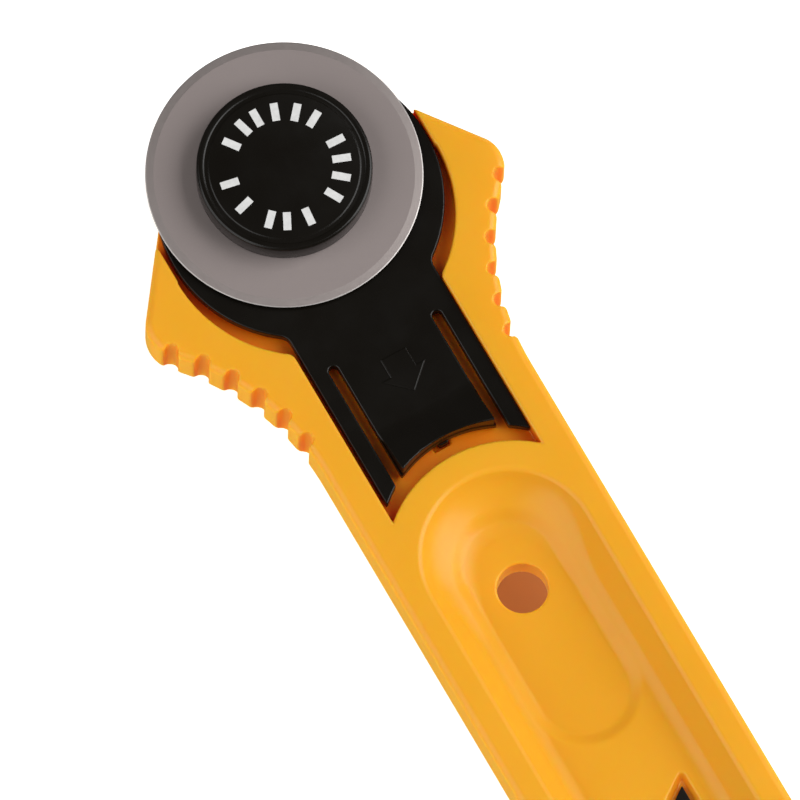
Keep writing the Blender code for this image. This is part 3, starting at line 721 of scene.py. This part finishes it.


# Yellow: light and dark tones, then the colour of the shade painted into its hollows, then roughness.
YELLOW = translucent_plastic_painted_shade(
    "yellow_moulding", (0.91, 0.445, 0.024), (0.88, 0.425, 0.021), (0.88, 0.17, 0.001), 0.34
).material
BLACK = moulded_plastic(
    "black_moulding", (0.0048, 0.0036, 0.0022), (0.0040, 0.0030, 0.0018), 0.28
).material
BLACK_MATT = moulded_plastic(
    "black_satin", (0.0060, 0.0050, 0.0035), (0.0050, 0.0040, 0.0030), 0.42
).material
STEEL = ground_steel(
    "blade_face", (0.391, 0.334, 0.323), (0.371, 0.317, 0.306), 0.55, 4200.0, (1.0, 2.0, 1.0), 0.65
).material
GROUND = ground_steel(
    "ground_bevel", (0.45, 0.395, 0.38), (0.41, 0.36, 0.345), 0.45, 3000.0, (1.0, 1.0, 1.0), 0.75
).material
HONED = ground_steel(
    "honed_edge", (0.62, 0.59, 0.57), (0.36, 0.33, 0.32), 0.5, 1500.0, (1.0, 1.0, 1.0), 0.9
).material
ZINC = ground_steel(
    "bright_steel", (0.62, 0.62, 0.63), (0.5, 0.5, 0.51), 0.3, 900.0, (1.0, 1.0, 6.0)
).material
BRASS = ground_steel(
    "turned_brass", (0.72, 0.50, 0.20), (0.6, 0.4, 0.15), 0.3, 900.0, (1.0, 1.0, 6.0)
).material
INK = printed_ink("white_ink", (0.80, 0.80, 0.79)).material


# ---------------------------------------------------------------- pieces

def dress(piece, material, body, slot, *replaced):
    piece.data.materials.clear()
    piece.data.materials.append(material)
    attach(piece, body)
    if replaced:
        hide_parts(*replaced)
    return piece


def make_handle():
    piece = skin("handle_shell", handle_field, *HANDLE_BOX, HANDLE_STEP, HANDLE_KEEP)
    return dress(piece, YELLOW, "handle", "yellow_plastic", "handle")


def make_guard():
    piece = skin("guard_shell", guard_field, *GUARD_BOX, GUARD_STEP, GUARD_KEEP)
    return dress(piece, BLACK, "guard", "black_plastic", "guard")


def make_arrow():
    """Low raised arrow on the tongue that points the way the guard is drawn back."""
    outline = [
        (ARROW_MIDDLE, ARROW_TIP),
        (ARROW_MIDDLE + ARROW_HALF, ARROW_BARB),
        (ARROW_MIDDLE + SHAFT_HALF, ARROW_BARB),
        (ARROW_MIDDLE + SHAFT_HALF, ARROW_TAIL),
        (ARROW_MIDDLE - SHAFT_HALF, ARROW_TAIL),
        (ARROW_MIDDLE - SHAFT_HALF, ARROW_BARB),
        (ARROW_MIDDLE - ARROW_HALF, ARROW_BARB),
    ]
    low, high = GUARD_TOP - ARROW_SUNK, GUARD_TOP + ARROW_PROUD
    shape = bmesh.new()
    bevelled_plate(shape, outline, low, high, ARROW_EDGE, Matrix.Identity(4), 3)
    return dress(finished("guard_arrow", shape), BLACK, "guard", "black_plastic")


def make_badge():
    """Thin slanted inlay, a little smaller than the floor of its pocket."""
    half = BADGE_HALF - INLAY_GAP
    inset = INLAY_GAP * (BADGE_SLANT + math.hypot(1.0, BADGE_SLANT))
    tip, foot = BADGE_TIP - inset, BADGE_FOOT + inset
    drop = 2 * BADGE_SLANT * half
    outline = [(half, tip), (-half, tip - drop), (-half, foot), (half, foot + drop)]
    shape = bmesh.new()
    high = BADGE_FLOOR + INLAY_HEIGHT
    bevelled_plate(shape, outline, BADGE_FLOOR, high, INLAY_EDGE, Matrix.Identity(4), 2)
    return dress(finished("badge_inlay", shape), BLACK_MATT, "handle", "badge_black", "badge")


def make_knob():
    reach = KNOB_RADIUS + KNOB_MARGIN
    low, high = (-reach, -reach, KNOB_FOOT), (reach, reach, KNOB_TOP)
    piece = skin("knob_shell", knob_field, low, high, KNOB_STEP, KNOB_KEEP)
    return dress(piece, BLACK_MATT, "nut", "knob_plastic", "knob")


def make_blade():
    """Thin disc with a ground bevel round its rim on both faces, and a finely honed edge."""
    upper = [
        (BLADE_HOLE, BLADE_HALF), (BLADE_RIM, BLADE_HALF),
        (BLADE_HONED, HONED_HALF), (BLADE_EDGE, EDGE_HALF),
    ]
    lower = [(radius, -height) for radius, height in reversed(upper)]
    piece = turned("blade_disc", upper + lower, BLADE_STEPS, BLADE_CREASE, is_ring=True)
    dress(piece, STEEL, "blade", "blade_steel", "blade")
    piece.data.materials.append(GROUND)
    piece.data.materials.append(HONED)
    for face in piece.data.polygons:
        away = math.hypot(face.center.x, face.center.y) / MM
        face.material_index = int(away > BLADE_RIM) + int(away > BLADE_HONED)
    return piece


def make_cap():
    """Low drum with two fine steps round its face, and a spigot in the blade's hole."""
    piece = turned("cap_shell", CAP_PROFILE, CAP_STEPS, CAP_CREASE, edge_width=CAP_EDGE)
    return dress(piece, BLACK, "handle", "cap_plastic", "cap")


def make_cap_marks():
    """Ring of white bars printed on the cap's face, in groups, like a plain scale."""
    half = MARK_WIDTH / 2
    outline = [(MARK_INNER, -half), (MARK_OUTER, -half), (MARK_OUTER, half), (MARK_INNER, half)]
    shape = bmesh.new()
    for turn in MARK_DEGREES:
        placing = Matrix.Rotation(math.radians(turn), 4, "Z")
        bevelled_plate(shape, outline, MARK_LOW, MARK_HIGH, MARK_EDGE, placing)
    return dress(finished("cap_marks", shape), INK, "handle", "cap_plastic")


def dress_hidden_parts():
    """Finish for the CAD pieces that stay: bolt, washers and insert."""
    finishes = {"bolt": ZINC, "spring_washer": ZINC, "flat_washer": ZINC, "nut_insert": BRASS}
    for name, material in finishes.items():
        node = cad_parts[name]
        for slot in node.material_slots:
            slot.material = material
    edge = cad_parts["flat_washer"].modifiers.new("edge", "BEVEL")
    edge.width = 0.08 * MM
    edge.segments = 2
    edge.limit_method = "ANGLE"
    edge.angle_limit = math.radians(50.0)


# ---------------------------------------------------------------- floor, light and camera

def make_floor():
    """Pale table lit a little from within, with a soft shadow painted under the handle and a dark brown
    shade painted under its hole; the glow fades out under both.
    """
    bpy.ops.mesh.primitive_plane_add(size=FLOOR_SIZE, location=(0.0, 0.0, -FLOOR_GAP * MM))
    floor = bpy.context.object
    floor.name = "floor"
    nodes = Nodes("pale_floor")
    # Painted shade: a dark brown spot under the hanging hole, fading out round it.
    away = nodes.tree.nodes.new("ShaderNodeVectorMath")
    away.operation = "DISTANCE"
    away.inputs[1].default_value = (0.0, HOLE_Y * MM, 0.0)
    nodes.link(nodes.place, away.inputs[0])
    clear_of_hole_shade = nodes.soft_ramp(away.outputs["Value"], SHADE_HOLE)
    # Painted shadow: a soft band under the handle, fading out beside, ahead of and behind it.
    along = nodes.tree.nodes.new("ShaderNodeSeparateXYZ")
    nodes.link(nodes.place, along.inputs["Vector"])
    side = nodes.maths("ABSOLUTE", along.outputs["X"])
    beside = nodes.soft_ramp(side, SHADE_SIDE)
    ahead = nodes.soft_ramp(along.outputs["Y"], SHADE_FRONT)
    behind = nodes.soft_ramp(along.outputs["Y"], SHADE_END, 1.0, 0.0)
    clear = nodes.maths("MAXIMUM", nodes.maths("MAXIMUM", beside, ahead), behind)
    pale = nodes.tone(nodes.noise(3.0, 2.0), FLOOR_PALE, FLOOR_DULL)
    shaded = nodes.over(clear, FLOOR_SHADE, pale)
    painted_shade = nodes.over(clear_of_hole_shade, FLOOR_HOLE_SHADE, shaded)
    nodes.link(painted_shade, nodes.shader.inputs["Base Color"])
    # The glow fades out where the painted shade lies.
    bare = nodes.maths("MINIMUM", clear, clear_of_hole_shade)
    nodes.shader.inputs["Roughness"].default_value = FLOOR_ROUGHNESS
    nodes.shader.inputs["Emission Color"].default_value = (*FLOOR_GLOW, 1.0)
    glow = nodes.ramp(bare, 0.0, FLOOR_GLOW_STRENGTH, 0.0, 1.0)
    nodes.link(glow, nodes.shader.inputs["Emission Strength"])
    floor.data.materials.append(nodes.material)
    floor.visible_glossy = False


def add_light(name, direction, size, power, target):
    """Soft rectangular light that stands off in a direction and faces the cutter."""
    light = bpy.data.lights.new(name, "AREA")
    light.shape = "RECTANGLE"
    light.size, light.size_y = size
    light.energy = power
    lamp = bpy.data.objects.new(name, light)
    lamp.location = target + Vector(direction).normalized() * LIGHT_DISTANCE
    lamp.rotation_euler = (target - lamp.location).to_track_quat("-Z", "Y").to_euler()
    bpy.context.scene.collection.objects.link(lamp)


def make_light():
    """A strong softbox on the right, a weaker one on the left, and a faint sky for dark blacks."""
    world = bpy.context.scene.world or bpy.data.worlds.new("world")
    bpy.context.scene.world = world
    world.use_nodes = True
    sky = world.node_tree.nodes["Background"]
    sky.inputs["Color"].default_value = (*SKY_COLOUR, 1.0)
    sky.inputs["Strength"].default_value = SKY_STRENGTH
    middle = Vector((0.0, -0.03, BLADE_PLANE))
    add_light("right_softbox", (0.79, -0.36, 0.67), (1.0, 0.9), 11.6, middle)
    add_light("left_softbox", (-0.85, 0.06, 0.62), (1.2, 1.0), 7.6, middle)


def make_camera():
    """Long lens looking down on the blade side, the handle running to the lower right."""
    back = Vector(VIEW_BACK).normalized()
    right = Vector(VIEW_RIGHT)
    right = (right - back * right.dot(back)).normalized()
    up = back.cross(right)
    target = Vector((0.0, 0.0, BLADE_PLANE)) + (right * VIEW_OFFSET[0] + up * VIEW_OFFSET[1]) * MM
    camera = bpy.data.cameras.new("camera")
    camera.sensor_width = SENSOR_WIDTH
    camera.lens = SENSOR_WIDTH * VIEW_DISTANCE / (VIEW_WIDTH * MM)
    holder = bpy.data.objects.new("camera", camera)
    axes = Matrix((right, up, back)).transposed()
    holder.matrix_world = Matrix.Translation(target + back * VIEW_DISTANCE) @ axes.to_4x4()
    bpy.context.scene.collection.objects.link(holder)
    bpy.context.scene.camera = holder
    bpy.context.scene.view_settings.view_transform = "Standard"


make_handle()
make_guard()
make_arrow()
make_badge()
make_blade()
make_cap()
make_cap_marks()
make_knob()
dress_hidden_parts()
make_floor()
make_light()
make_camera()
